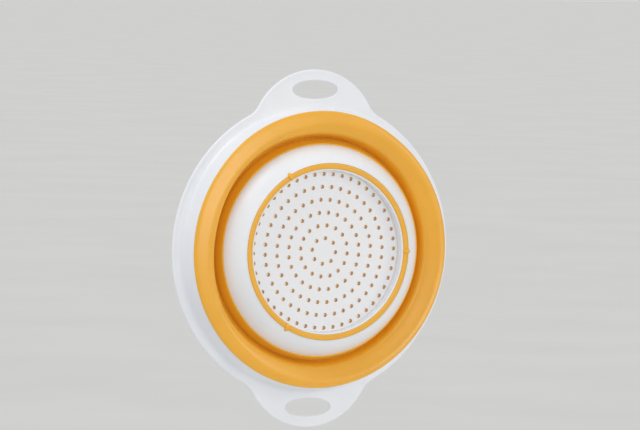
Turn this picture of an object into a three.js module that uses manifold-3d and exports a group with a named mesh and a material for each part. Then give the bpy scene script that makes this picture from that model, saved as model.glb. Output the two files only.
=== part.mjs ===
// A collapsible colander, folded flat: a rigid rim with two slotted handles, an elastomer membrane folded
// in a V, and a rigid base with a perforated plate that the membrane lets out along the colander's axis.
//
// Each piece is drawn in the colander's own frame: its axis is Z, "height" runs from the rim towards the
// base, Y runs along the handles. The last group turns that frame so that the colander hangs by its upper
// slot: Z up along the handles, base towards -Y, origin at the edge of the slot that rests on a hook.

import * as THREE from "three";
import { mergeVertices } from "three/addons/utils/BufferGeometryUtils.js";
import Module from "manifold-3d";

const wasm = await Module();
wasm.setup();

// Driving dimensions, in millimetres.
const GAP = 0.3; // between pieces that touch
const RIGID_WALL = 2.2;
const MEMBRANE_WALL = 1.5;

const RIM_RADIUS = 120;
const FLANGE_FACE = -1.5; // height of the flange's face on the base side
const FLANGE_THICKNESS = 2.5;
const EDGE_ROUND = 0.6;

const HANDLE_RADIUS = 55;
const HANDLE_REACH = 142.8;
const HANDLE_FILLET = 20;
const SLOT_CENTRE = 126.7;
const SLOT_HALF_WIDTH = 19.7;
const SLOT_HALF_HEIGHT = 7.3;
const SLOT_SQUARENESS = 2.2; // 2 is an ellipse

const SKIRT_FILLET_RADIUS = 115.5; // where the flange starts to rise into the skirt
const SKIRT_FOOT_RADIUS = 111.8;
const SKIRT_FOOT_HEIGHT = 4;
const SKIRT_TOP_RADIUS = 109.7;
const SKIRT_TOP_HEIGHT = 16.3;

const BOWL_RADIUS = 84.1; // the middle ring's wide end
const BOWL_HEIGHT = 15.4;

// The corners of the folded membrane's middle line, and how far from each one its rounding starts.
const CROWN_HEIGHT = 18.4;
const CROWN_ROUND = 1.6;
const FACE_BEND_RADIUS = 99.5; // where the crown's flat face starts to fall
const FACE_BEND_ROUND = 3.5;
const SHOULDER_RADIUS = 94.2; // where it turns down into the crevice
const SHOULDER_HEIGHT = 16.6;
const SHOULDER_ROUND = 1.7;
const CREASE_RADIUS = 88.9;
const CREASE_HEIGHT = 3.2;
const CREASE_ROUND = 2.8;
const EDGE_INSET = 0.9; // from a rigid wall's outer face to the membrane's edge
const EDGE_LENGTH = 0.5; // of the straight stretch at each edge, square to the wall that it meets

const BOWL_ARC_RADIUS = 34; // the middle ring's round section
const GASKET_OUTER = 69.8;
const GASKET_INNER = 65.8;
const GASKET_CROWN = 31.3;
const GASKET_SEAT = 28.3; // floor of the groove that the gasket fills
const GASKET_BEVEL = 0.5;

const PLATE_FACE = 21.5; // the perforated plate, recessed in the foot
const PLATE_THICKNESS = 1.6;
const PLATE_RADIUS = 64;
const LINER_THICKNESS = 3.6;
const LINER_RADIUS = 78.6; // almost to the middle ring's inner wall
const HOLE_RINGS = 6;
const HOLES_PER_RING_STEP = 8; // ring 1 has 8 holes, ring 2 has 16, and so on
const RING_PITCH = 10.19;
const HOLE_RADIUS = 1.65;
const HOLE_SIDES = 6;
const PATTERN_TURN = THREE.MathUtils.degToRad(-6.1);

const FOOT_COUNT = 3;
const FOOT_RADIUS = 2.9;
const FOOT_HEIGHT = 1.7;
const FOOT_FLAT_RADIUS = 1.7;
const FOOT_SHOULDER_SHARE = 0.6; // of its height, where its side turns in
const FOOT_CIRCLE_RADIUS = 68.7;

const ROUND_SIDES = 60;

const WHITE = new THREE.MeshStandardMaterial({ color: 0xe9eaee, roughness: 0.42, metalness: 0 });
const ORANGE = new THREE.MeshStandardMaterial({ color: 0xe4a137, roughness: 0.55, metalness: 0 });

// ---- outlines -------------------------------------------------------------------------------------

function polygon(centreX, centreY, radius, sides, turn = 0) {
  const points = [];
  for (let i = 0; i < sides; i++) {
    const angle = turn + (2 * Math.PI * i) / sides;
    points.push(new THREE.Vector2(centreX + radius * Math.cos(angle), centreY + radius * Math.sin(angle)));
  }
  return points;
}

// A closed superellipse: an oval with squarer ends.
function oval(centreX, centreY, halfWidth, halfHeight, squareness, sides) {
  const squared = (value) => Math.sign(value) * Math.abs(value) ** (2 / squareness);
  return polygon(0, 0, 1, sides).map(
    (p) => new THREE.Vector2(centreX + halfWidth * squared(p.x), centreY + halfHeight * squared(p.y)),
  );
}

// Rim circle and two handle circles, with a concave fillet where they meet.
function flangeOutline() {
  const handleCentre = HANDLE_REACH - HANDLE_RADIUS;
  const toRim = RIM_RADIUS + HANDLE_FILLET;
  const toHandle = HANDLE_RADIUS + HANDLE_FILLET;
  const filletY = (toRim ** 2 - toHandle ** 2 + handleCentre ** 2) / (2 * handleCentre);
  const filletX = Math.sqrt(toRim ** 2 - filletY ** 2);
  const rimAngle = Math.atan2(filletY, filletX);
  const handleAngle = Math.atan2(filletY - handleCentre, filletX);
  const outline = new THREE.Shape();
  outline.absarc(0, 0, RIM_RADIUS, -rimAngle, rimAngle, false);
  outline.absarc(filletX, filletY, HANDLE_FILLET, Math.PI + rimAngle, Math.PI + handleAngle, true);
  outline.absarc(0, handleCentre, HANDLE_RADIUS, handleAngle, Math.PI - handleAngle, false);
  outline.absarc(-filletX, filletY, HANDLE_FILLET, -handleAngle, -rimAngle, true);
  outline.absarc(0, 0, RIM_RADIUS, Math.PI - rimAngle, Math.PI + rimAngle, false);
  outline.absarc(-filletX, -filletY, HANDLE_FILLET, rimAngle, handleAngle, true);
  outline.absarc(0, -handleCentre, HANDLE_RADIUS, Math.PI + handleAngle, 2 * Math.PI - handleAngle, false);
  outline.absarc(filletX, -filletY, HANDLE_FILLET, Math.PI - handleAngle, Math.PI - rimAngle, true);
  return outline;
}

// A line from start to end past corners, each cut by a curve that begins "round" away from it.
function roundedLine(start, corners, end) {
  const curveSteps = 3;
  const line = [start];
  corners.forEach(({ point, round }, i) => {
    const next = i + 1 < corners.length ? corners[i + 1].point : end;
    const before = i > 0 ? corners[i - 1].point : start;
    const entry = before.clone().sub(point).setLength(round).add(point);
    const exit = next.clone().sub(point).setLength(round).add(point);
    line.push(...new THREE.QuadraticBezierCurve(entry, point, exit).getPoints(curveSteps));
  });
  line.push(end);
  return line;
}

// The closed section of a sheet, from the line along the middle of its thickness.
function sheetSection(middle, thickness) {
  const sides = [[], []];
  middle.forEach((point, i) => {
    const before = middle[Math.max(i - 1, 0)];
    const after = middle[Math.min(i + 1, middle.length - 1)];
    const along = after.clone().sub(before).normalize();
    const across = new THREE.Vector2(-along.y, along.x).multiplyScalar(thickness / 2);
    sides[0].push(point.clone().add(across));
    sides[1].unshift(point.clone().sub(across));
  });
  return [...sides[0], ...sides[1]];
}

// The middle ring's section is round: the arc's centre is inside the bowl, as far from both ends.
function bowlArcCentre(topRadius, topHeight) {
  const wide = new THREE.Vector2(BOWL_RADIUS, BOWL_HEIGHT);
  const narrow = new THREE.Vector2(topRadius, topHeight);
  const chord = narrow.clone().sub(wide);
  const inward = new THREE.Vector2(-chord.y, chord.x).normalize();
  const distance = Math.sqrt(BOWL_ARC_RADIUS ** 2 - (chord.length() / 2) ** 2);
  return wide.add(narrow).multiplyScalar(0.5).addScaledVector(inward, distance);
}

// Points of a round wall between two heights.
function arcBetweenHeights(centre, radius, fromHeight, toHeight, steps) {
  const start = Math.asin((fromHeight - centre.y) / radius);
  const end = Math.asin((toHeight - centre.y) / radius);
  const points = [];
  for (let i = 0; i <= steps; i++) {
    const angle = start + ((end - start) * i) / steps;
    points.push(new THREE.Vector2(centre.x + radius * Math.cos(angle), centre.y + radius * Math.sin(angle)));
  }
  return points;
}

const at = (radius, height) => new THREE.Vector2(radius, height);

// ---- solids ---------------------------------------------------------------------------------------

// A ring or dome: the outline, in radius and height, turned round the colander's axis.
function turned(outline) {
  const closed = THREE.ShapeUtils.isClockWise(outline) ? [...outline].reverse() : [...outline];
  closed.push(closed[0].clone());
  return new THREE.LatheGeometry(closed, ROUND_SIDES).rotateX(Math.PI / 2);
}

function slab(shape, height, thickness, round = 0) {
  const geometry = new THREE.ExtrudeGeometry(shape, {
    depth: thickness - 2 * round,
    bevelEnabled: round > 0,
    bevelThickness: round,
    bevelSize: round,
    bevelOffset: -round,
    bevelSegments: 1,
    curveSegments: 12,
  });
  return geometry.translate(0, 0, height + round);
}

function toSolid(geometry) {
  const bare = geometry.clone();
  bare.deleteAttribute("normal");
  bare.deleteAttribute("uv");
  const merged = mergeVertices(bare, 1e-4);
  const mesh = new wasm.Mesh({
    numProp: 3,
    vertProperties: merged.getAttribute("position").array,
    triVerts: new Uint32Array(merged.index.array),
  });
  return new wasm.Manifold(mesh);
}

function toGeometry(solid) {
  const mesh = solid.getMesh();
  const geometry = new THREE.BufferGeometry();
  geometry.setAttribute("position", new THREE.BufferAttribute(mesh.vertProperties, 3));
  geometry.setIndex(new THREE.BufferAttribute(mesh.triVerts, 1));
  geometry.computeVertexNormals();
  return geometry;
}

function piece(name, geometry, material) {
  const mesh = new THREE.Mesh(geometry, material);
  mesh.name = name;
  return mesh;
}

// ---- the colander's pieces ------------------------------------------------------------------------

function rimFrame() {
  const flange = flangeOutline();
  const opening = SKIRT_TOP_RADIUS - RIGID_WALL / 2;
  flange.holes.push(new THREE.Path(polygon(0, 0, opening, ROUND_SIDES)));
  const slotSides = 24;
  for (const side of [1, -1]) {
    const slot = oval(0, side * SLOT_CENTRE, SLOT_HALF_WIDTH, SLOT_HALF_HEIGHT, SLOT_SQUARENESS, slotSides);
    flange.holes.push(new THREE.Path(slot));
  }
  const back = FLANGE_FACE - FLANGE_THICKNESS;
  const filletLean = 0.4;
  const fillet = new THREE.QuadraticBezierCurve(
    at(SKIRT_FILLET_RADIUS, FLANGE_FACE),
    at(SKIRT_FOOT_RADIUS + filletLean, FLANGE_FACE + filletLean),
    at(SKIRT_FOOT_RADIUS, SKIRT_FOOT_HEIGHT),
  );
  const filletSteps = 3;
  const skirt = [
    at(SKIRT_FOOT_RADIUS - RIGID_WALL, back),
    at(SKIRT_FILLET_RADIUS, back),
    ...fillet.getPoints(filletSteps),
    at(SKIRT_TOP_RADIUS, SKIRT_TOP_HEIGHT),
    at(SKIRT_TOP_RADIUS - RIGID_WALL, SKIRT_TOP_HEIGHT),
    at(SKIRT_FOOT_RADIUS - RIGID_WALL, SKIRT_FOOT_HEIGHT),
  ];
  const plate = toSolid(slab(flange, back, FLANGE_THICKNESS, EDGE_ROUND));
  return piece("rim_frame", toGeometry(plate.add(toSolid(turned(skirt)))), WHITE);
}

// The membrane, folded: out of the skirt's end, over a low crown, inwards along a nearly flat face to a
// tight shoulder, down into a narrow crevice, and up a cone to the middle ring.
function fold() {
  const outerRadius = SKIRT_TOP_RADIUS - EDGE_INSET;
  const innerRadius = BOWL_RADIUS - EDGE_INSET;
  const outerEdge = at(outerRadius, SKIRT_TOP_HEIGHT + GAP);
  const innerEdge = at(innerRadius + EDGE_LENGTH, BOWL_HEIGHT - GAP);
  const corners = [
    { point: at(outerRadius, CROWN_HEIGHT), round: CROWN_ROUND },
    { point: at(FACE_BEND_RADIUS, CROWN_HEIGHT), round: FACE_BEND_ROUND },
    { point: at(SHOULDER_RADIUS, SHOULDER_HEIGHT), round: SHOULDER_ROUND },
    { point: at(CREASE_RADIUS, CREASE_HEIGHT), round: CREASE_ROUND },
    { point: innerEdge.clone().sub(at(0, EDGE_LENGTH)), round: EDGE_LENGTH / 2 },
  ];
  const middle = roundedLine(outerEdge, corners, innerEdge);
  return piece("fold", turned(sheetSection(middle, MEMBRANE_WALL)), ORANGE);
}

// The bowl's lower wall, the groove for the gasket at the foot, and the wall of the recess inside it.
function midRing() {
  const lipHeight = GASKET_CROWN - GASKET_BEVEL;
  const groove = [GASKET_INNER - GAP, GASKET_OUTER + GAP];
  const recess = PLATE_RADIUS + GAP;
  const webFoot = PLATE_FACE - PLATE_THICKNESS;
  const roof = GASKET_SEAT - RIGID_WALL;
  const centre = bowlArcCentre(groove[1], lipHeight);
  const arcSteps = 5;
  const outside = arcBetweenHeights(centre, BOWL_ARC_RADIUS, BOWL_HEIGHT, lipHeight, arcSteps);
  const inside = arcBetweenHeights(centre, BOWL_ARC_RADIUS - RIGID_WALL, roof, BOWL_HEIGHT, arcSteps - 1);
  const section = [
    ...outside,
    at(groove[1], GASKET_SEAT),
    at(groove[0], GASKET_SEAT),
    at(groove[0], lipHeight),
    at(recess, lipHeight),
    at(recess, webFoot),
    at(recess + RIGID_WALL, webFoot),
    at(recess + RIGID_WALL, roof),
    ...inside,
  ];
  return piece("mid_ring", turned(section), WHITE);
}

// The gasket: a band with bevelled edges.
function baseRing() {
  const section = [
    at(GASKET_INNER, GASKET_SEAT + GAP),
    at(GASKET_OUTER, GASKET_SEAT + GAP),
    at(GASKET_OUTER, GASKET_CROWN - GASKET_BEVEL),
    at(GASKET_OUTER - GASKET_BEVEL, GASKET_CROWN),
    at(GASKET_INNER + GASKET_BEVEL, GASKET_CROWN),
    at(GASKET_INNER, GASKET_CROWN - GASKET_BEVEL),
  ];
  return piece("base_ring", turned(section), ORANGE);
}

// A low dome with a flat top, on the gasket's crown.
function foot(index) {
  const sides = 16;
  const draft = 0.2;
  const section = [
    at(0, 0),
    at(FOOT_RADIUS, 0),
    at(FOOT_RADIUS - draft, FOOT_HEIGHT * FOOT_SHOULDER_SHARE),
    at(FOOT_FLAT_RADIUS, FOOT_HEIGHT),
    at(0, FOOT_HEIGHT),
  ];
  const geometry = new THREE.LatheGeometry(section, sides).rotateX(Math.PI / 2);
  const mesh = piece("foot_" + (index + 1), geometry, ORANGE);
  const angle = (2 * Math.PI * index) / FOOT_COUNT;
  const seat = GASKET_CROWN + GAP;
  mesh.position.set(FOOT_CIRCLE_RADIUS * Math.cos(angle), FOOT_CIRCLE_RADIUS * Math.sin(angle), seat);
  return mesh;
}

// A disc with rings of holes. Every ring has a hole on each of eight spokes.
function perforatedDisc(radius) {
  const disc = new THREE.Shape(polygon(0, 0, radius, ROUND_SIDES));
  for (let ring = 1; ring <= HOLE_RINGS; ring++) {
    const holes = HOLES_PER_RING_STEP * ring;
    for (let i = 0; i < holes; i++) {
      const angle = PATTERN_TURN + (2 * Math.PI * i) / holes;
      const x = ring * RING_PITCH * Math.cos(angle);
      const y = ring * RING_PITCH * Math.sin(angle);
      disc.holes.push(new THREE.Path(polygon(x, y, HOLE_RADIUS, HOLE_SIDES, angle)));
    }
  }
  return disc;
}

function basePlate() {
  const back = PLATE_FACE - PLATE_THICKNESS;
  return piece("base_plate", slab(perforatedDisc(PLATE_RADIUS), back, PLATE_THICKNESS), WHITE);
}

// The liner lies behind the plate and reaches across almost to the middle ring's inner wall.
function baseLiner() {
  const front = PLATE_FACE - PLATE_THICKNESS - GAP;
  const disc = perforatedDisc(LINER_RADIUS);
  return piece("base_liner", slab(disc, front - LINER_THICKNESS, LINER_THICKNESS), ORANGE);
}

// ---- the colander, hung by its upper slot ------------------------------------------------------------

const colander = new THREE.Group();
colander.add(rimFrame(), fold(), midRing(), baseRing(), basePlate(), baseLiner());
for (let index = 0; index < FOOT_COUNT; index++) {
  colander.add(foot(index));
}
colander.rotation.x = Math.PI / 2;
const flangeMiddle = FLANGE_FACE - FLANGE_THICKNESS / 2;
colander.position.set(0, flangeMiddle, -(SLOT_CENTRE + SLOT_HALF_HEIGHT));

const hung = new THREE.Group();
hung.add(colander);

export default hung;
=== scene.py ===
"""A fold-flat colander, hung by its upper handle slot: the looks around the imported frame."""
import math

import bmesh
import bpy
import numpy as np
from mathutils import Matrix, Vector
from mathutils.geometry import delaunay_2d_cdt


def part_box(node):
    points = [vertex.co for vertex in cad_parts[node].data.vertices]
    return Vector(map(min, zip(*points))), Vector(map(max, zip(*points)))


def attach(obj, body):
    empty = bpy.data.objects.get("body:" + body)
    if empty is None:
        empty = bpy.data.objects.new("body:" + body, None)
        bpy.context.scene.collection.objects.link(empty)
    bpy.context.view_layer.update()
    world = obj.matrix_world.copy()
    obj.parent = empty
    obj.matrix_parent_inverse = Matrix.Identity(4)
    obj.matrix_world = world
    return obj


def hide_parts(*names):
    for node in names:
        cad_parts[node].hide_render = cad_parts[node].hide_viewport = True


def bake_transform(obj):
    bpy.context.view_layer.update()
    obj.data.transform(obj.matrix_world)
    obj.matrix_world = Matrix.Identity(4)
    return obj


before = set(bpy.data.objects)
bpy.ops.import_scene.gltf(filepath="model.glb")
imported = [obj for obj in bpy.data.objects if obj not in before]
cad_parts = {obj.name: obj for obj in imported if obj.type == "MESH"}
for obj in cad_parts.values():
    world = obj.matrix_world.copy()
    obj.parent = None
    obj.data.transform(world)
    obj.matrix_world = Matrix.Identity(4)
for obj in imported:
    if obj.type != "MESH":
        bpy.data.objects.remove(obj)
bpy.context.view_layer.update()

# ---- places, from the frame ---------------------------------------------------------------------
# A section point is (radius, height) in millimetres, in the colander's own frame: its axis runs
# along Y through the plate's centre, and heights run from the rim (food side) towards the base.

MM = 0.001
FLANGE_BACK = -4.0  # the height that the flange's back face has by definition


def centre_of(node):
    low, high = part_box(node)
    return (low + high) / 2


AXIS = centre_of("base_plate")
BACK_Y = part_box("rim_frame")[1].y


def height_of(y):
    return FLANGE_BACK + (BACK_Y - y) / MM


def y_of(height):
    return BACK_Y - (height - FLANGE_BACK) * MM


def radius_of(node):
    low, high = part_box(node)
    return (high.x - low.x) / 2 / MM


def heights_of(node):
    low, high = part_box(node)
    return height_of(high.y), height_of(low.y)


def to_row(points):
    """Points (x, y, height) in millimetres as places in the row frame, in metres."""
    x, y, height = np.asarray(points, float).T
    return np.column_stack([AXIS.x + x * MM, y_of(height), AXIS.z + y * MM])


RIM_RADIUS = radius_of("rim_frame")
RIM_LOW, RIM_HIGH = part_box("rim_frame")
HANDLE_REACH = (RIM_HIGH.z - RIM_LOW.z) / 2 / MM
SKIRT_TOP = heights_of("rim_frame")[1]
BOWL_RADIUS = radius_of("mid_ring")
BOWL_HEIGHT, LIP_HEIGHT = heights_of("mid_ring")
GASKET_SEAT, GASKET_CROWN = heights_of("base_ring")
PLATE_RADIUS = radius_of("base_plate")
PLATE_BACK, PLATE_FACE = heights_of("base_plate")
# base_liner is painted shade: an orange sheet whose colour, seen through the drain holes, stands in for
# the orange-tinted shade behind them
SHADE_SHEET_BACK, SHADE_SHEET_FACE = heights_of("base_liner")

# ---- sizes that the frame's boxes don't give, in millimetres ---------------------------------------
FLANGE_FACE = -1.5
FLANGE_EDGE_ROUND = 0.9
FLANGE_DISH = 0.2  # how far the flange's face sinks inside its edge
DISH_WIDTH = 2.5  # over which it does so
SKIRT_FILLET_RADIUS = 116.2  # where the flange turns up into the skirt
HANDLE_RADIUS = 55.0
HANDLE_FILLET = 20.0
SLOT_CENTRE = 126.7
SLOT_HALF_WIDTH = 19.7
SLOT_HALF_HEIGHT = 7.3
SLOT_SQUARENESS = 2.05  # 2 is an ellipse
WALL = 2.2
MEMBRANE = 1.5
SKIRT_RADIUS = 109.7
GROOVE_INNER = 65.6  # the gasket fills the groove from here
GROOVE_OUTER = 70.1
FEET = 3
HOLE_RINGS = 6
HOLES_PER_RING_STEP = 8  # ring 1 has 8 holes, ring 2 has 16, and so on
RING_PITCH = 10.19
PATTERN_TURN = math.radians(-6.1)
HOLE_RADIUS = 1.65
BOWL_ARC_RADIUS = 34.0  # the middle ring's round section
PLATE_GAP = 0.3  # to the recess wall
TURNS = 540  # facets round a ring


# ---- sections -------------------------------------------------------------------------------------

def bezier(points, steps):
    """Points along a Bezier curve of any order."""
    t = np.linspace(0, 1, steps + 1)[:, None]
    order = len(points) - 1
    curve = np.zeros((steps + 1, 2))
    for k, point in enumerate(points):
        curve += math.comb(order, k) * t**k * (1 - t) ** (order - k) * np.array(point, float)
    return curve


def rounded(corners, steps=5):
    """A closed outline from (radius, height, rounding) corners, each turned as an arc."""
    nearly_straight = math.radians(179)
    longest_share = 0.48  # of a side, so that two roundings never meet
    outline = []
    for i, (r, h, rounding) in enumerate(corners):
        corner = np.array((r, h), float)
        before = np.array(corners[i - 1][:2], float) - corner
        after = np.array(corners[(i + 1) % len(corners)][:2], float) - corner
        shortest = min(np.linalg.norm(before), np.linalg.norm(after))
        before = before / np.linalg.norm(before)
        after = after / np.linalg.norm(after)
        angle = math.acos(float(np.clip(before @ after, -1, 1)))
        if rounding <= 0 or angle > nearly_straight:
            outline.append(corner)
            continue
        reach = min(rounding / math.tan(angle / 2), longest_share * shortest)
        radius = reach * math.tan(angle / 2)
        centre = corner + (before + after) / np.linalg.norm(before + after) * radius / math.sin(angle / 2)
        start = corner + before * reach - centre
        end = corner + after * reach - centre
        for k in range(steps + 1):
            way = start * (1 - k / steps) + end * k / steps
            outline.append(centre + way / np.linalg.norm(way) * radius)
    return np.array(outline)


def smooth(value):
    """Rises from 0 to 1 as the value does, with level ends."""
    value = np.clip(value, 0, 1)
    return value * value * (3 - 2 * value)


def fade(value, start, end):
    """Rises from 0 where the value is start to 1 where it is end, which may be the smaller one."""
    return smooth((value - start) / (end - start))


def ring_loop(radius, sides, centre=(0, 0)):
    """A circle of points (x, y) round a centre."""
    angles = np.linspace(0, 2 * math.pi, sides, endpoint=False)
    return np.column_stack([centre[0] + radius * np.cos(angles), centre[1] + radius * np.sin(angles)])


# ---- meshes ---------------------------------------------------------------------------------------

def mesh_object(name, points, faces):
    """A smooth-shaded closed mesh from points (x, y, height), with its faces turned outwards."""
    mesh = bpy.data.meshes.new(name)
    mesh.from_pydata(to_row(points).tolist(), [], [list(map(int, f)) for f in faces])
    work = bmesh.new()
    work.from_mesh(mesh)
    bmesh.ops.recalc_face_normals(work, faces=work.faces)
    work.to_mesh(mesh)
    work.free()
    mesh.shade_smooth()
    piece = bpy.data.objects.new(name, mesh)
    bpy.context.scene.collection.objects.link(piece)
    return piece


def revolve(name, section, sway=None):
    """A closed (radius, height) outline turned round the colander's axis. sway(angles, radius, height)
    gives how far each point moves outwards and up."""
    angles = np.linspace(0, 2 * math.pi, TURNS, endpoint=False)
    section = np.asarray(section, float)
    count = len(section)
    radius = section[:, 0]
    height = section[:, 1]
    if sway:
        outwards, up = sway(angles[:, None], radius, height)
        radius = radius + outwards
        height = height + up
    points = np.empty((TURNS, count, 3))
    points[:, :, 0] = np.cos(angles)[:, None] * radius
    points[:, :, 1] = np.sin(angles)[:, None] * radius
    points[:, :, 2] = height
    faces = []
    for i in range(TURNS):
        here = i * count
        there = (i + 1) % TURNS * count
        for j in range(count):
            k = (j + 1) % count
            faces.append((here + j, here + k, there + k, there + j))
    return mesh_object(name, points.reshape(-1, 3), faces)


class Shell:
    """A surface gathered from loops, the strips between them and flat fills."""

    def __init__(self):
        self.points = []
        self.faces = []

    def loop(self, outline, height):
        """Adds a loop of points at one height, or at one height each, and returns their numbers."""
        first = len(self.points)
        heights = np.broadcast_to(height, (len(outline),))
        self.points += [(x, y, h) for (x, y), h in zip(outline, heights)]
        return list(range(first, first + len(outline)))

    def join(self, loops):
        """Adds the strips of faces from each loop to the next, which has as many points."""
        for one, other in zip(loops, loops[1:]):
            for i in range(len(one)):
                j = (i + 1) % len(one)
                self.faces.append((one[i], one[j], other[j], other[i]))

    def fill(self, loops, keep, inner=(), height=None):
        """Fills the area between loops with triangles. keep(x, y) says which centres are on material."""
        numbers = [n for loop in loops for n in loop]
        flat = [Vector(self.points[n][:2]) for n in numbers]
        edges = []
        first = 0
        for loop in loops:
            edges += [(first + i, first + (i + 1) % len(loop)) for i in range(len(loop))]
            first += len(loop)
        for x, y in inner:
            numbers.append(len(self.points))
            self.points.append((x, y, height(x, y)))
            flat.append(Vector((x, y)))
        corners, _, triangles, origins, _, _ = delaunay_2d_cdt(flat, edges, [], 0, 1e-6)
        if len(corners) > len(flat):
            raise ValueError("two of the loops cross")
        for triangle in triangles:
            x = sum(corners[c].x for c in triangle) / 3
            y = sum(corners[c].y for c in triangle) / 3
            if keep(x, y):
                self.faces.append([numbers[origins[c][0]] for c in triangle])

    def build(self, name):
        return mesh_object(name, self.points, self.faces)


def even_normals(piece):
    """Lets the large flat faces set the shading, so that rounded edges don't streak across them."""
    modifier = piece.modifiers.new("even normals", "WEIGHTED_NORMAL")
    modifier.mode = "FACE_AREA"
    modifier.weight = 90
    modifier.keep_sharp = True


# ---- the rim frame --------------------------------------------------------------------------------

def flange_outline():
    """The flange's outer edge and the directions straight out of it: rim, handles and their fillets."""
    handle_centre = HANDLE_REACH - HANDLE_RADIUS
    to_rim = RIM_RADIUS + HANDLE_FILLET
    to_handle = HANDLE_RADIUS + HANDLE_FILLET
    fillet_y = (to_rim**2 - to_handle**2 + handle_centre**2) / (2 * handle_centre)
    fillet_x = math.sqrt(to_rim**2 - fillet_y**2)
    rim_angle = math.atan2(fillet_y, fillet_x)
    handle_angle = math.atan2(fillet_y - handle_centre, fillet_x)
    pi = math.pi
    arcs = [
        (0, 0, RIM_RADIUS, -rim_angle, rim_angle, 1),
        (fillet_x, fillet_y, HANDLE_FILLET, pi + rim_angle, pi + handle_angle, -1),
        (0, handle_centre, HANDLE_RADIUS, handle_angle, pi - handle_angle, 1),
        (-fillet_x, fillet_y, HANDLE_FILLET, -handle_angle, -rim_angle, -1),
        (0, 0, RIM_RADIUS, pi - rim_angle, pi + rim_angle, 1),
        (-fillet_x, -fillet_y, HANDLE_FILLET, rim_angle, handle_angle, -1),
        (0, -handle_centre, HANDLE_RADIUS, pi + handle_angle, 2 * pi - handle_angle, 1),
        (fillet_x, -fillet_y, HANDLE_FILLET, pi - handle_angle, pi - rim_angle, -1),
    ]
    step = 1.1
    points = []
    outward = []
    for x, y, radius, start, end, side in arcs:
        count = max(4, round(radius * abs(end - start) / step))
        for k in range(count):
            angle = start + (end - start) * k / count
            direction = np.array((math.cos(angle), math.sin(angle)))
            points.append(np.array((x, y)) + radius * direction)
            outward.append(side * direction)
    return np.array(points), np.array(outward)


def slot_outline(side):
    """A handle slot's edge and the directions into the slot."""
    sides = 96
    unit = ring_loop(1.0, sides)
    squared = np.sign(unit) * np.abs(unit) ** (2 / SLOT_SQUARENESS)
    outline = squared * (SLOT_HALF_WIDTH, SLOT_HALF_HEIGHT) + (0, side * SLOT_CENTRE)
    along = np.roll(outline, -1, axis=0) - np.roll(outline, 1, axis=0)
    across = np.column_stack([-along[:, 1], along[:, 0]])
    return outline, across / np.linalg.norm(across, axis=1)[:, None]


def distance_to(outline, points):
    """How far each of the points (x, y) is from the outline's nearest point."""
    gaps = np.asarray(points)[:, None, :] - outline[None, :, :]
    return np.sqrt((gaps**2).sum(2)).min(1)


def rolled_edge(shell, outline, outward, front, back):
    """The rounded edge of a sheet, from the loop on its front face to the loop on its back face."""
    half = (front - back) / 2
    loops = []
    steps = 8
    for k in range(steps + 1):
        angle = math.pi / 2 - math.pi * k / steps
        reach = FLANGE_EDGE_ROUND * (math.cos(angle) - 1)
        loops.append(shell.loop(outline + outward * reach, (front + back) / 2 + half * math.sin(angle)))
    shell.join(loops)
    return loops[0], loops[-1]


def rim_frame():
    """The flange with its two slotted handles, and the skirt that the membrane hangs on."""
    shell = Shell()
    outline, outward = flange_outline()
    inner_edge = outline - outward * FLANGE_EDGE_ROUND
    edge_front, edge_back = rolled_edge(shell, outline, outward, FLANGE_FACE, FLANGE_BACK)
    slots = [slot_outline(side) for side in (1, -1)]
    slot_loops = [rolled_edge(shell, points, across, FLANGE_FACE, FLANGE_BACK) for points, across in slots]

    # The skirt: a soft fillet out of the flange, the wall, its lip, and back down inside.
    face = FLANGE_FACE - FLANGE_DISH
    fillet = bezier([(SKIRT_FILLET_RADIUS, face), (112.4, face - 0.1), (111.7, 1.6), (111.3, 6.0)], 14)
    lip = rounded(
        [
            (111.0, 9.0, 0),
            (SKIRT_RADIUS, SKIRT_TOP, 0.55),
            (SKIRT_RADIUS - WALL, SKIRT_TOP, 0.4),
            (109.1, 3.5, 3.0),
            (109.3, FLANGE_BACK, 1.2),
            (SKIRT_FILLET_RADIUS, FLANGE_BACK, 0),
        ]
    )
    wall = np.vstack([fillet, lip])
    loops = [shell.loop(ring_loop(r, TURNS), h) for r, h in wall]
    shell.join(loops)

    # The flange's two faces, from the skirt out to the rolled edge and round the slots.
    spacing = 2.0
    margin = 2.2  # from a grid point to the nearest edge
    reach = np.arange(-HANDLE_REACH, HANDLE_REACH, spacing)
    grid = np.array([(x, y) for x in reach for y in reach if math.hypot(x, y) > SKIRT_FILLET_RADIUS + 1])

    def on_flange(x, y):
        if math.hypot(x, y) < SKIRT_FILLET_RADIUS:
            return False
        wide = SLOT_HALF_WIDTH + FLANGE_EDGE_ROUND
        tall = SLOT_HALF_HEIGHT + FLANGE_EDGE_ROUND
        slot = abs(x / wide) ** SLOT_SQUARENESS + abs((abs(y) - SLOT_CENTRE) / tall) ** SLOT_SQUARENESS
        if slot < 1:
            return False
        if math.hypot(x, y) < RIM_RADIUS - FLANGE_EDGE_ROUND:
            return True
        nearest = int(((outline - (x, y)) ** 2).sum(1).argmin())
        return float((np.array((x, y)) - inner_edge[nearest]) @ outward[nearest]) < 0

    clear = distance_to(outline, grid) > margin
    for points, _ in slots:
        clear &= distance_to(points, grid) > margin
    inner = [tuple(p) for p, ok in zip(grid, clear) if ok and on_flange(*p)]

    def dished(x, y):
        inwards = distance_to(outline, [(x, y)])[0] - FLANGE_EDGE_ROUND
        return FLANGE_FACE - FLANGE_DISH * smooth(inwards / DISH_WIDTH)

    fronts = [edge_front, loops[0], *(pair[0] for pair in slot_loops)]
    backs = [edge_back, loops[-1], *(pair[1] for pair in slot_loops)]
    shell.fill(fronts, on_flange, inner, dished)
    shell.fill(backs, on_flange)
    piece = shell.build("rim_shell")
    even_normals(piece)
    return piece


# ---- the membrane ---------------------------------------------------------------------------------

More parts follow.
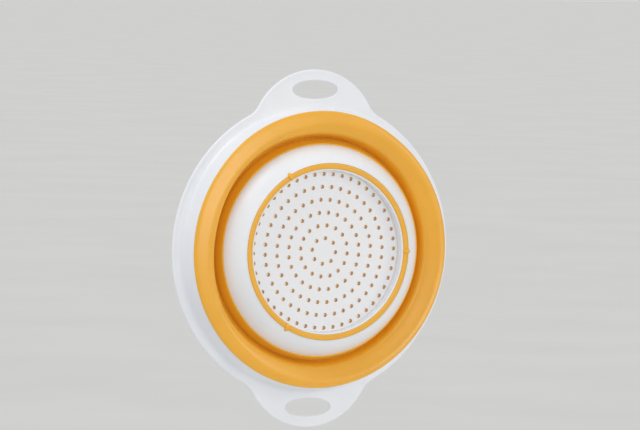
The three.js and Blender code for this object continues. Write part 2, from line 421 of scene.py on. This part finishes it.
# Points on the membrane's middle line.
FOLD_EDGE = (SKIRT_RADIUS - 0.9, SKIRT_TOP + 0.05)
FOLD_END = (BOWL_RADIUS + 0.15, BOWL_HEIGHT - 0.15)
CROWN = (102.2, 18.8)  # its highest
SHOULDER = (94.6, 16.2)  # where the crown's gently falling face turns down
HEEL = (90.4, 7.6)  # where the crevice's side starts to round into the crease
CREASE = (88.6, 5.2)
WALL_FOOT = (87.4, 8.2)  # where the crease has turned into the cone that meets the middle ring


def thickened(middle):
    """A closed outline round a middle line, half the membrane's wall to each side, with oval ends."""
    along = np.gradient(middle, axis=0)
    along /= np.linalg.norm(along, axis=1)[:, None]
    bulge = 0.5  # of an end, as a share of a half circle's
    offset = np.column_stack([along[:, 1], -along[:, 0]]) * MEMBRANE / 2
    ends = []
    for point, side, way in ((middle[-1], offset[-1], along[-1]), (middle[0], -offset[0], -along[0])):
        for angle in np.linspace(0, math.pi, 7)[1:-1]:
            ends.append(point + side * math.cos(angle) + way * MEMBRANE / 2 * math.sin(angle) * bulge)
    half = len(ends) // 2
    return np.vstack([middle + offset, ends[:half], (middle - offset)[::-1], ends[half:]])


def soft_sway(angles, radius, height):
    """Soft as it is, the membrane isn't quite round: its shoulder wavers, its crown's highest line is off
    centre, its inner half stands higher at the upper left than at the lower right, and near the upper
    handle it leans over the skirt.
    Directions are in degrees round the axis, anticlockwise from the right as seen from the base side."""
    crown_radius = CROWN[0]
    edge_height = FOLD_EDGE[1]

    def towards(degrees):
        return np.cos(angles - math.radians(degrees))

    waves = 1.1 * np.cos(4 * (angles - math.radians(127))) * (1 - towards(350)) / 2
    waves = waves * fade(height, CREASE[1], CREASE[1] + 10) * fade(radius, crown_radius, crown_radius - 8)
    drift = 2.8 * towards(335) * fade(radius, 94, 101) * fade(radius, 109, 103)
    drift = drift * fade(height, HEEL[1], HEEL[1] + 6)
    lean = 1.5 * fade(towards(103), 0.6, 1.0)
    lean = lean * fade(radius, crown_radius - 1, crown_radius + 4)
    lean = lean * fade(height, edge_height, edge_height + 1)
    lift = (2.5 * towards(157) - 0.9) * fade(radius, HEEL[0], HEEL[0] + 4) * fade(radius, 107, 94)
    return waves + drift + lean, lift


def fold_roll():
    """The part that rolls out: from the skirt's lip over the crown and down its inner face, round the
    shoulder and down the steep side of the crevice to the crease."""
    r, h = FOLD_EDGE
    crown = bezier([(r, h + 0.3), (r - 0.2, 17.6), (r - 3.4, CROWN[1]), CROWN], 16)
    face = bezier([CROWN, (100.2, CROWN[1]), (96.6, 17.6), SHOULDER], 16)
    side = bezier([SHOULDER, (93.2, 15.1), (91.9, 11.0), HEEL], 20)
    heel = bezier([HEEL, (89.7, 5.5), CREASE], 6)
    middle = np.vstack([[FOLD_EDGE], crown, face[1:], side[1:], heel[1:]])
    piece = revolve("fold_roll", thickened(middle), sway=soft_sway)
    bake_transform(piece)
    return piece


def fold_wall():
    """The cone inside the crease, which goes with the base. Its edge laps the middle ring's."""
    heel = bezier([(89.2, 5.1), (87.8, 4.7), WALL_FOOT], 10)
    wall = bezier([WALL_FOOT, FOLD_END], 10)
    return revolve("fold_wall", thickened(np.vstack([heel, wall[1:]])))


# ---- the base -------------------------------------------------------------------------------------

def bowl_arc(inset, heights):
    """Radii of the middle ring's round wall, or of a wall inset from it, at those heights."""
    wide = np.array((BOWL_RADIUS, BOWL_HEIGHT))
    narrow = np.array((GROOVE_OUTER, LIP_HEIGHT))
    chord = narrow - wide
    inward = np.array((-chord[1], chord[0])) / np.linalg.norm(chord)
    centre = (wide + narrow) / 2 + inward * math.sqrt(BOWL_ARC_RADIUS**2 - chord @ chord / 4)
    radius = BOWL_ARC_RADIUS - inset
    return centre[0] + np.sqrt(radius**2 - (np.asarray(heights) - centre[1]) ** 2)


def mid_ring():
    """The bowl's lower wall, the gasket's groove and the wall of the plate's recess."""
    recess = PLATE_RADIUS + PLATE_GAP
    groove = GASKET_SEAT - 0.3
    roof = groove - WALL
    rising = np.linspace(BOWL_HEIGHT + 0.6, LIP_HEIGHT - 0.3, 22)
    falling = np.linspace(roof - 0.5, BOWL_HEIGHT + 0.6, 12)
    outside = [(r, h, 0) for r, h in zip(bowl_arc(0, rising), rising)]
    inside = [(r, h, 0) for r, h in zip(bowl_arc(WALL, falling), falling)]
    edge = BOWL_HEIGHT
    section = [
        (float(bowl_arc(0, edge)), edge, 0.5),
        *outside,
        (GROOVE_OUTER + 0.35, LIP_HEIGHT, 0.25),
        (GROOVE_OUTER + 0.05, LIP_HEIGHT - 0.1, 0.1),
        (GROOVE_OUTER + 0.05, groove, 0.2),
        (GROOVE_INNER - 0.05, groove, 0.2),
        (GROOVE_INNER - 0.05, LIP_HEIGHT - 0.3, 0.1),
        (recess + 0.15, LIP_HEIGHT - 0.4, 0.5),
        (recess, PLATE_BACK, 0.2),
        (recess + WALL, PLATE_BACK, 0.2),
        (recess + WALL, roof, 0.8),
        *inside,
        (float(bowl_arc(WALL, edge)), edge, 0.5),
    ]
    return revolve("mid_shell", rounded(section))


def base_ring():
    """A band with a softly rounded crown."""
    edge = GASKET_CROWN - 0.8
    section = [
        (GROOVE_INNER, GASKET_SEAT, 0.2),
        (GROOVE_OUTER, GASKET_SEAT, 0.2),
        (GROOVE_OUTER, edge, 0.3),
        (GROOVE_OUTER - 0.6, GASKET_CROWN, 1.2),
        (GROOVE_INNER + 0.6, GASKET_CROWN, 1.2),
        (GROOVE_INNER, edge, 0.3),
    ]
    return revolve("gasket", rounded(section))


def foot(index):
    """A low rounded rib across the gasket. Its outer end follows the bowl down."""
    low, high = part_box(f"foot_{index + 1}")
    centre = (low + high) / 2
    x = (centre.x - AXIS.x) / MM
    y = (centre.z - AXIS.z) / MM
    angle = math.atan2(y, x)
    out = np.array((math.cos(angle), math.sin(angle)))
    across = np.array((-math.sin(angle), math.cos(angle)))
    half_length = 3.5
    half_width = 2.3
    droop = 1.4  # of the outer end
    bottom = GASKET_CROWN - 1.8
    top = height_of(low.y) - 0.5
    sides = 40
    rings = 12
    last_lean = math.radians(85)  # where one face closes the top
    shell = Shell()
    loops = []
    for lean in np.linspace(0, last_lean, rings):
        oval = ring_loop(math.cos(lean) ** 0.5, sides) * (half_length, half_width)
        fall = droop * smooth(oval[:, 0] / half_length)
        outline = (x, y) + oval[:, :1] * out + oval[:, 1:] * across
        loops.append(shell.loop(outline, bottom + (top - bottom) * math.sin(lean) - fall))
    shell.join(loops)
    shell.faces += [loops[0], loops[-1]]
    return shell.build(f"grip_{index + 1}")


def hole_centres():
    """The drain holes' places (x, y), ring by ring."""
    for ring in range(1, HOLE_RINGS + 1):
        count = HOLES_PER_RING_STEP * ring
        for k in range(count):
            angle = PATTERN_TURN + 2 * math.pi * k / count
            yield ring * RING_PITCH * math.cos(angle), ring * RING_PITCH * math.sin(angle)


def clear_of_holes(radius, outer):
    """A test for fill(): on the disc, and not over a hole. A hole's facets dip inside its radius, so a
    centre just inside it is still on material."""
    centres = np.array(list(hole_centres()))
    nearest = radius * 0.99

    def keep(x, y):
        return math.hypot(x, y) < outer and ((centres - (x, y)) ** 2).sum(1).min() > nearest**2

    return keep


def perforated(name, rim_section, hole_section):
    """A disc with the hole pattern. rim_section runs down the disc's edge from its front face to its
    back face, and hole_section down a hole's wall, as (distance from the hole's axis, height)."""
    outer_sides = 360
    hole_sides = 28
    shell = Shell()
    edge = [shell.loop(ring_loop(r, outer_sides), h) for r, h in rim_section]
    shell.join(edge)
    fronts = [edge[0]]
    backs = [edge[-1]]
    for centre in hole_centres():
        loops = [shell.loop(ring_loop(r, hole_sides, centre), h) for r, h in hole_section]
        shell.join(loops)
        fronts.append(loops[0])
        backs.append(loops[-1])
    shell.fill(fronts, clear_of_holes(hole_section[0][0], rim_section[0][0]))
    shell.fill(backs, clear_of_holes(hole_section[-1][0], rim_section[-1][0]))
    piece = shell.build(name)
    even_normals(piece)
    return piece


def base_plate():
    """The plate: its edge turns up in a fillet that runs flush into the recess wall."""
    flat = PLATE_RADIUS - 0.7
    wall = PLATE_RADIUS + PLATE_GAP - 0.01
    top = PLATE_FACE + 1.4
    fillet = bezier([(flat, PLATE_FACE), (wall, PLATE_FACE), (wall, top)], 10)
    soft = 0.15
    mouth = (HOLE_RADIUS + soft, PLATE_FACE)
    corner = (HOLE_RADIUS, PLATE_FACE)
    bore = (HOLE_RADIUS, PLATE_FACE - soft)
    chamfer = bezier([mouth, corner, bore], 4)
    return perforated("plate", [*fillet, (wall, PLATE_BACK)], [*chamfer, (HOLE_RADIUS, PLATE_BACK)])


def base_liner():
    """The liner: painted shade. Its orange, seen through the drain holes, stands in for the orange-tinted
    shade inside the folded colander. A thin web under the plate, with a soft collar round every hole, and
    a thick border that follows the bowl's wall."""
    radius = radius_of("base_liner")
    web_back = SHADE_SHEET_FACE - 2.4
    web_edge = PLATE_RADIUS - 0.6
    rim = [
        (radius, SHADE_SHEET_FACE),
        (radius + 0.6, SHADE_SHEET_FACE - 0.3),
        (float(bowl_arc(WALL, SHADE_SHEET_BACK + 0.6)) - 0.1, SHADE_SHEET_BACK + 0.6),
        (float(bowl_arc(WALL, SHADE_SHEET_BACK)) - 0.5, SHADE_SHEET_BACK),
        (web_edge + 1.5, SHADE_SHEET_BACK),
        (web_edge, web_back),
    ]
    outer = HOLE_RADIUS - 0.03
    inner = HOLE_RADIUS - 0.35
    top = PLATE_FACE - 0.35
    collar = bezier([(outer, top - 0.3), (outer, top), (inner, top), (inner, top - 0.3)], 6)
    hole = [(outer, SHADE_SHEET_FACE), *collar, (inner, web_back + 0.2), (outer, web_back)]
    # painted shade: this sheet's orange behind the drain holes stands in for the orange-tinted shade
    # inside the colander
    return perforated("liner", rim, hole)


# ---- materials --------------------------------------------------------------------------------------

class Recipe:
    """A node material whose Principled shader takes its numbers from words."""

    def __init__(self, name, **values):
        self.material = bpy.data.materials.new(name)
        self.material.use_nodes = True
        self.tree = self.material.node_tree
        self.shader = self.tree.nodes["Principled BSDF"]
        for socket, value in values.items():
            self.shader.inputs[socket.replace("_", " ")].default_value = value
        self.place = self.node("ShaderNodeTexCoord").outputs["Object"]

    def node(self, kind, **settings):
        made = self.tree.nodes.new(kind)
        for key, value in settings.items():
            setattr(made, key, value)
        return made

    def link(self, output, target):
        self.tree.links.new(output, target)

    def noise(self, size, detail=3.0, roughness=0.5):
        """Noise whose features are about that many millimetres across."""
        made = self.node("ShaderNodeTexNoise")
        made.inputs["Scale"].default_value = 1 / (size * MM)
        made.inputs["Detail"].default_value = detail
        made.inputs["Roughness"].default_value = roughness
        self.link(self.place, made.inputs["Vector"])
        return made.outputs["Fac"]

    def spread(self, value, low, high):
        """Noise, which stays near a half, spread over low to high."""
        made = self.node("ShaderNodeMapRange")
        made.inputs["From Min"].default_value = 0.3
        made.inputs["From Max"].default_value = 0.7
        made.inputs["To Min"].default_value = low
        made.inputs["To Max"].default_value = high
        self.link(value, made.inputs["Value"])
        return made.outputs["Result"]

    def tint(self, factor, first, second):
        made = self.node("ShaderNodeMix", data_type="RGBA")
        made.inputs["A"].default_value = (*first, 1)
        made.inputs["B"].default_value = (*second, 1)
        self.link(factor, made.inputs["Factor"])
        return made.outputs["Result"]

    def mix(self, factor, first, second):
        """Like tint, but the first colour comes from another node."""
        made = self.node("ShaderNodeMix", data_type="RGBA")
        made.inputs["B"].default_value = (*second, 1)
        self.link(factor, made.inputs["Factor"])
        self.link(first, made.inputs["A"])
        return made.outputs["Result"]

    def bump(self, height, depth, strength=1.0, under=None):
        made = self.node("ShaderNodeBump")
        made.inputs["Strength"].default_value = strength
        made.inputs["Distance"].default_value = depth * MM
        self.link(height, made.inputs["Height"])
        if under is not None:
            self.link(under, made.inputs["Normal"])
        return made.outputs["Normal"]

    def set(self, **links):
        for socket, output in links.items():
            self.link(output, self.shader.inputs[socket.replace("_", " ")])
        return self.material


def rigid_white():
    """Satin moulded polypropylene: a little milky, with faint flow clouds and fine surface grain."""
    recipe = Recipe(
        "rigid_white",
        IOR=1.49,
        Subsurface_Weight=0.2,
        Subsurface_Radius=(1.0, 0.9, 0.85),
        Subsurface_Scale=2.0 * MM,
    )
    clouds = recipe.noise(38, 3)
    scuffs = recipe.spread(recipe.noise(2.4, 6, 0.7), 0.30, 0.46)
    colour = recipe.tint(recipe.spread(clouds, 0, 1), (0.79, 0.81, 0.85), (0.83, 0.845, 0.87))
    grain = recipe.bump(recipe.noise(0.6, 2), 0.012, 0.5)
    waves = recipe.bump(recipe.noise(24, 1), 0.25, 0.35, grain)
    return recipe.set(Base_Color=colour, Roughness=scuffs, Normal=waves)


def plate_white():
    """The perforated plate: the same plastic with a fine spark-eroded texture."""
    recipe = Recipe(
        "plate_white",
        IOR=1.49,
        Subsurface_Weight=0.2,
        Subsurface_Radius=(1.0, 0.9, 0.85),
        Subsurface_Scale=1.5 * MM,
    )
    speckle = recipe.noise(0.9, 4, 0.7)
    colour = recipe.tint(recipe.spread(speckle, 0, 1), (0.80, 0.80, 0.82), (0.87, 0.87, 0.88))
    sparks = recipe.bump(speckle, 0.09, 0.8)
    roughness = recipe.spread(recipe.noise(6, 3), 0.5, 0.62)
    return recipe.set(Base_Color=colour, Roughness=roughness, Normal=sparks)


def soft_orange():
    """Elastomer: a translucent, satin body with a little pale dust, under a soft clear skin."""
    recipe = Recipe(
        "soft_orange",
        IOR=1.3,
        Subsurface_Weight=0.3,
        Subsurface_Radius=(1.0, 0.42, 0.12),
        Subsurface_Scale=2.5 * MM,
        Coat_Weight=1.0,
        Coat_Roughness=0.32,
        Coat_IOR=1.5,
        Sheen_Weight=0.05,
        Sheen_Roughness=0.45,
        Sheen_Tint=(1.0, 0.86, 0.68, 1.0),
    )
    clouds = recipe.spread(recipe.noise(30, 4, 0.55), 0, 1)
    deep = recipe.tint(clouds, (0.82, 0.402, 0.010), (0.86, 0.43, 0.016))
    dust = recipe.spread(recipe.noise(1.1, 6, 0.72), 0, 0.05)
    colour = recipe.mix(dust, deep, (0.86, 0.64, 0.34))
    grain = recipe.bump(recipe.noise(0.5, 3, 0.6), 0.02, 0.6)
    dimples = recipe.bump(recipe.noise(14, 2), 0.25, 0.35, grain)
    roughness = recipe.spread(recipe.noise(9, 4), 0.36, 0.46)
    return recipe.set(Base_Color=colour, Roughness=roughness, Normal=dimples)


def pale_floor():
    """Plain studio floor with faint clouds."""
    recipe = Recipe("pale_floor")
    colour = recipe.tint(recipe.spread(recipe.noise(900, 3), 0, 1), (0.93, 0.93, 0.92), (0.97, 0.97, 0.96))
    return recipe.set(Base_Color=colour, Roughness=recipe.spread(recipe.noise(40, 3), 0.7, 0.85))


# ---- the scene --------------------------------------------------------------------------------------

def put(piece, material, node, body=None):
    """Says what a piece is made of, stands for and rides on. A blended piece has no one body."""
    piece.data.materials.append(material)
    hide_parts(node)
    if body:
        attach(piece, body)


def dress():
    white = rigid_white()
    plate = plate_white()
    orange = soft_orange()
    put(rim_frame(), white, "rim_frame", "rim")
    put(fold_roll(), orange, "fold")
    put(fold_wall(), orange, "fold", "base")
    put(mid_ring(), white, "mid_ring", "base")
    put(base_ring(), orange, "base_ring", "base")
    put(base_plate(), plate, "base_plate", "base")
    # the liner is painted shade: its orange seen through the holes stands in for orange-tinted shade
    put(base_liner(), orange, "base_liner", "base")
    for index in range(FEET):
        put(foot(index), orange, f"foot_{index + 1}", "base")


def floor():
    half = 200.0  # in metres, so that it fills the background
    drop = 1.5  # in metres, from the lower handle
    z = RIM_LOW.z - drop
    corners = [(-half, -half, z), (half, -half, z), (half, half, z), (-half, half, z)]
    mesh = bpy.data.meshes.new("floor")
    mesh.from_pydata(corners, [], [(0, 1, 2, 3)])
    ground = bpy.data.objects.new("floor", mesh)
    bpy.context.scene.collection.objects.link(ground)
    mesh.materials.append(pale_floor())


def direction(azimuth, elevation):
    """The way from the object towards something seen at that azimuth and elevation, in degrees."""
    turn = math.radians(azimuth)
    rise = math.radians(elevation)
    level = math.cos(rise)
    return Vector((math.sin(turn) * level, -math.cos(turn) * level, math.sin(rise)))


def area_light(name, azimuth, elevation, distance, size, watts, colour):
    """A round soft light that faces the plate's centre."""
    data = bpy.data.lights.new(name, "AREA")
    data.shape = "DISK"
    data.size = size
    data.energy = watts
    data.color = colour
    lamp = bpy.data.objects.new(name, data)
    way = direction(azimuth, elevation)
    lamp.location = AXIS + way * distance
    lamp.rotation_euler = way.to_track_quat("Z", "Y").to_euler()
    bpy.context.scene.collection.objects.link(lamp)


def lights():
    area_light(
        "high_left", azimuth=-85, elevation=55, distance=2.0, size=1.2, watts=14.0, colour=(1.0, 1.0, 1.0)
    )
    area_light(
        "front", azimuth=3, elevation=9, distance=2.4, size=1.0, watts=10.8, colour=(1.0, 0.995, 0.985)
    )
    area_light(
        "low_right", azimuth=48, elevation=14, distance=2.6, size=1.0, watts=6.4, colour=(1.0, 0.985, 0.96)
    )
    world = bpy.data.worlds.new("studio")
    world.use_nodes = True
    background = world.node_tree.nodes["Background"]
    background.inputs["Color"].default_value = (1.0, 1.0, 1.0, 1)
    background.inputs["Strength"].default_value = 0.66
    bpy.context.scene.world = world
    bpy.context.scene.view_settings.view_transform = "Standard"


def camera():
    """Seen from the left and a little above, from far off with a long lens; the object leans clockwise."""
    azimuth = -24.87
    elevation = 3.69
    lean = math.radians(1.38)
    distance = 3.1606
    off_centre = Vector((-0.00405, 0, 0.02857))  # from the plate's centre, in metres
    aim = AXIS + off_centre
    aim.y = y_of(PLATE_FACE)
    data = bpy.data.cameras.new("camera")
    data.sensor_width = 36.0
    data.lens = 225.0
    data.clip_end = 200
    eye = bpy.data.objects.new("camera", data)
    back = direction(azimuth, elevation)
    level = Vector((-back.y, back.x, 0)).normalized()
    up = back.cross(level)
    right = level * math.cos(lean) + up * math.sin(lean)
    up = back.cross(right)
    turn = Matrix((right, up, back)).transposed()
    eye.matrix_world = Matrix.Translation(aim + back * distance) @ turn.to_4x4()
    bpy.context.scene.collection.objects.link(eye)
    bpy.context.scene.camera = eye


camera()
dress()
floor()
lights()
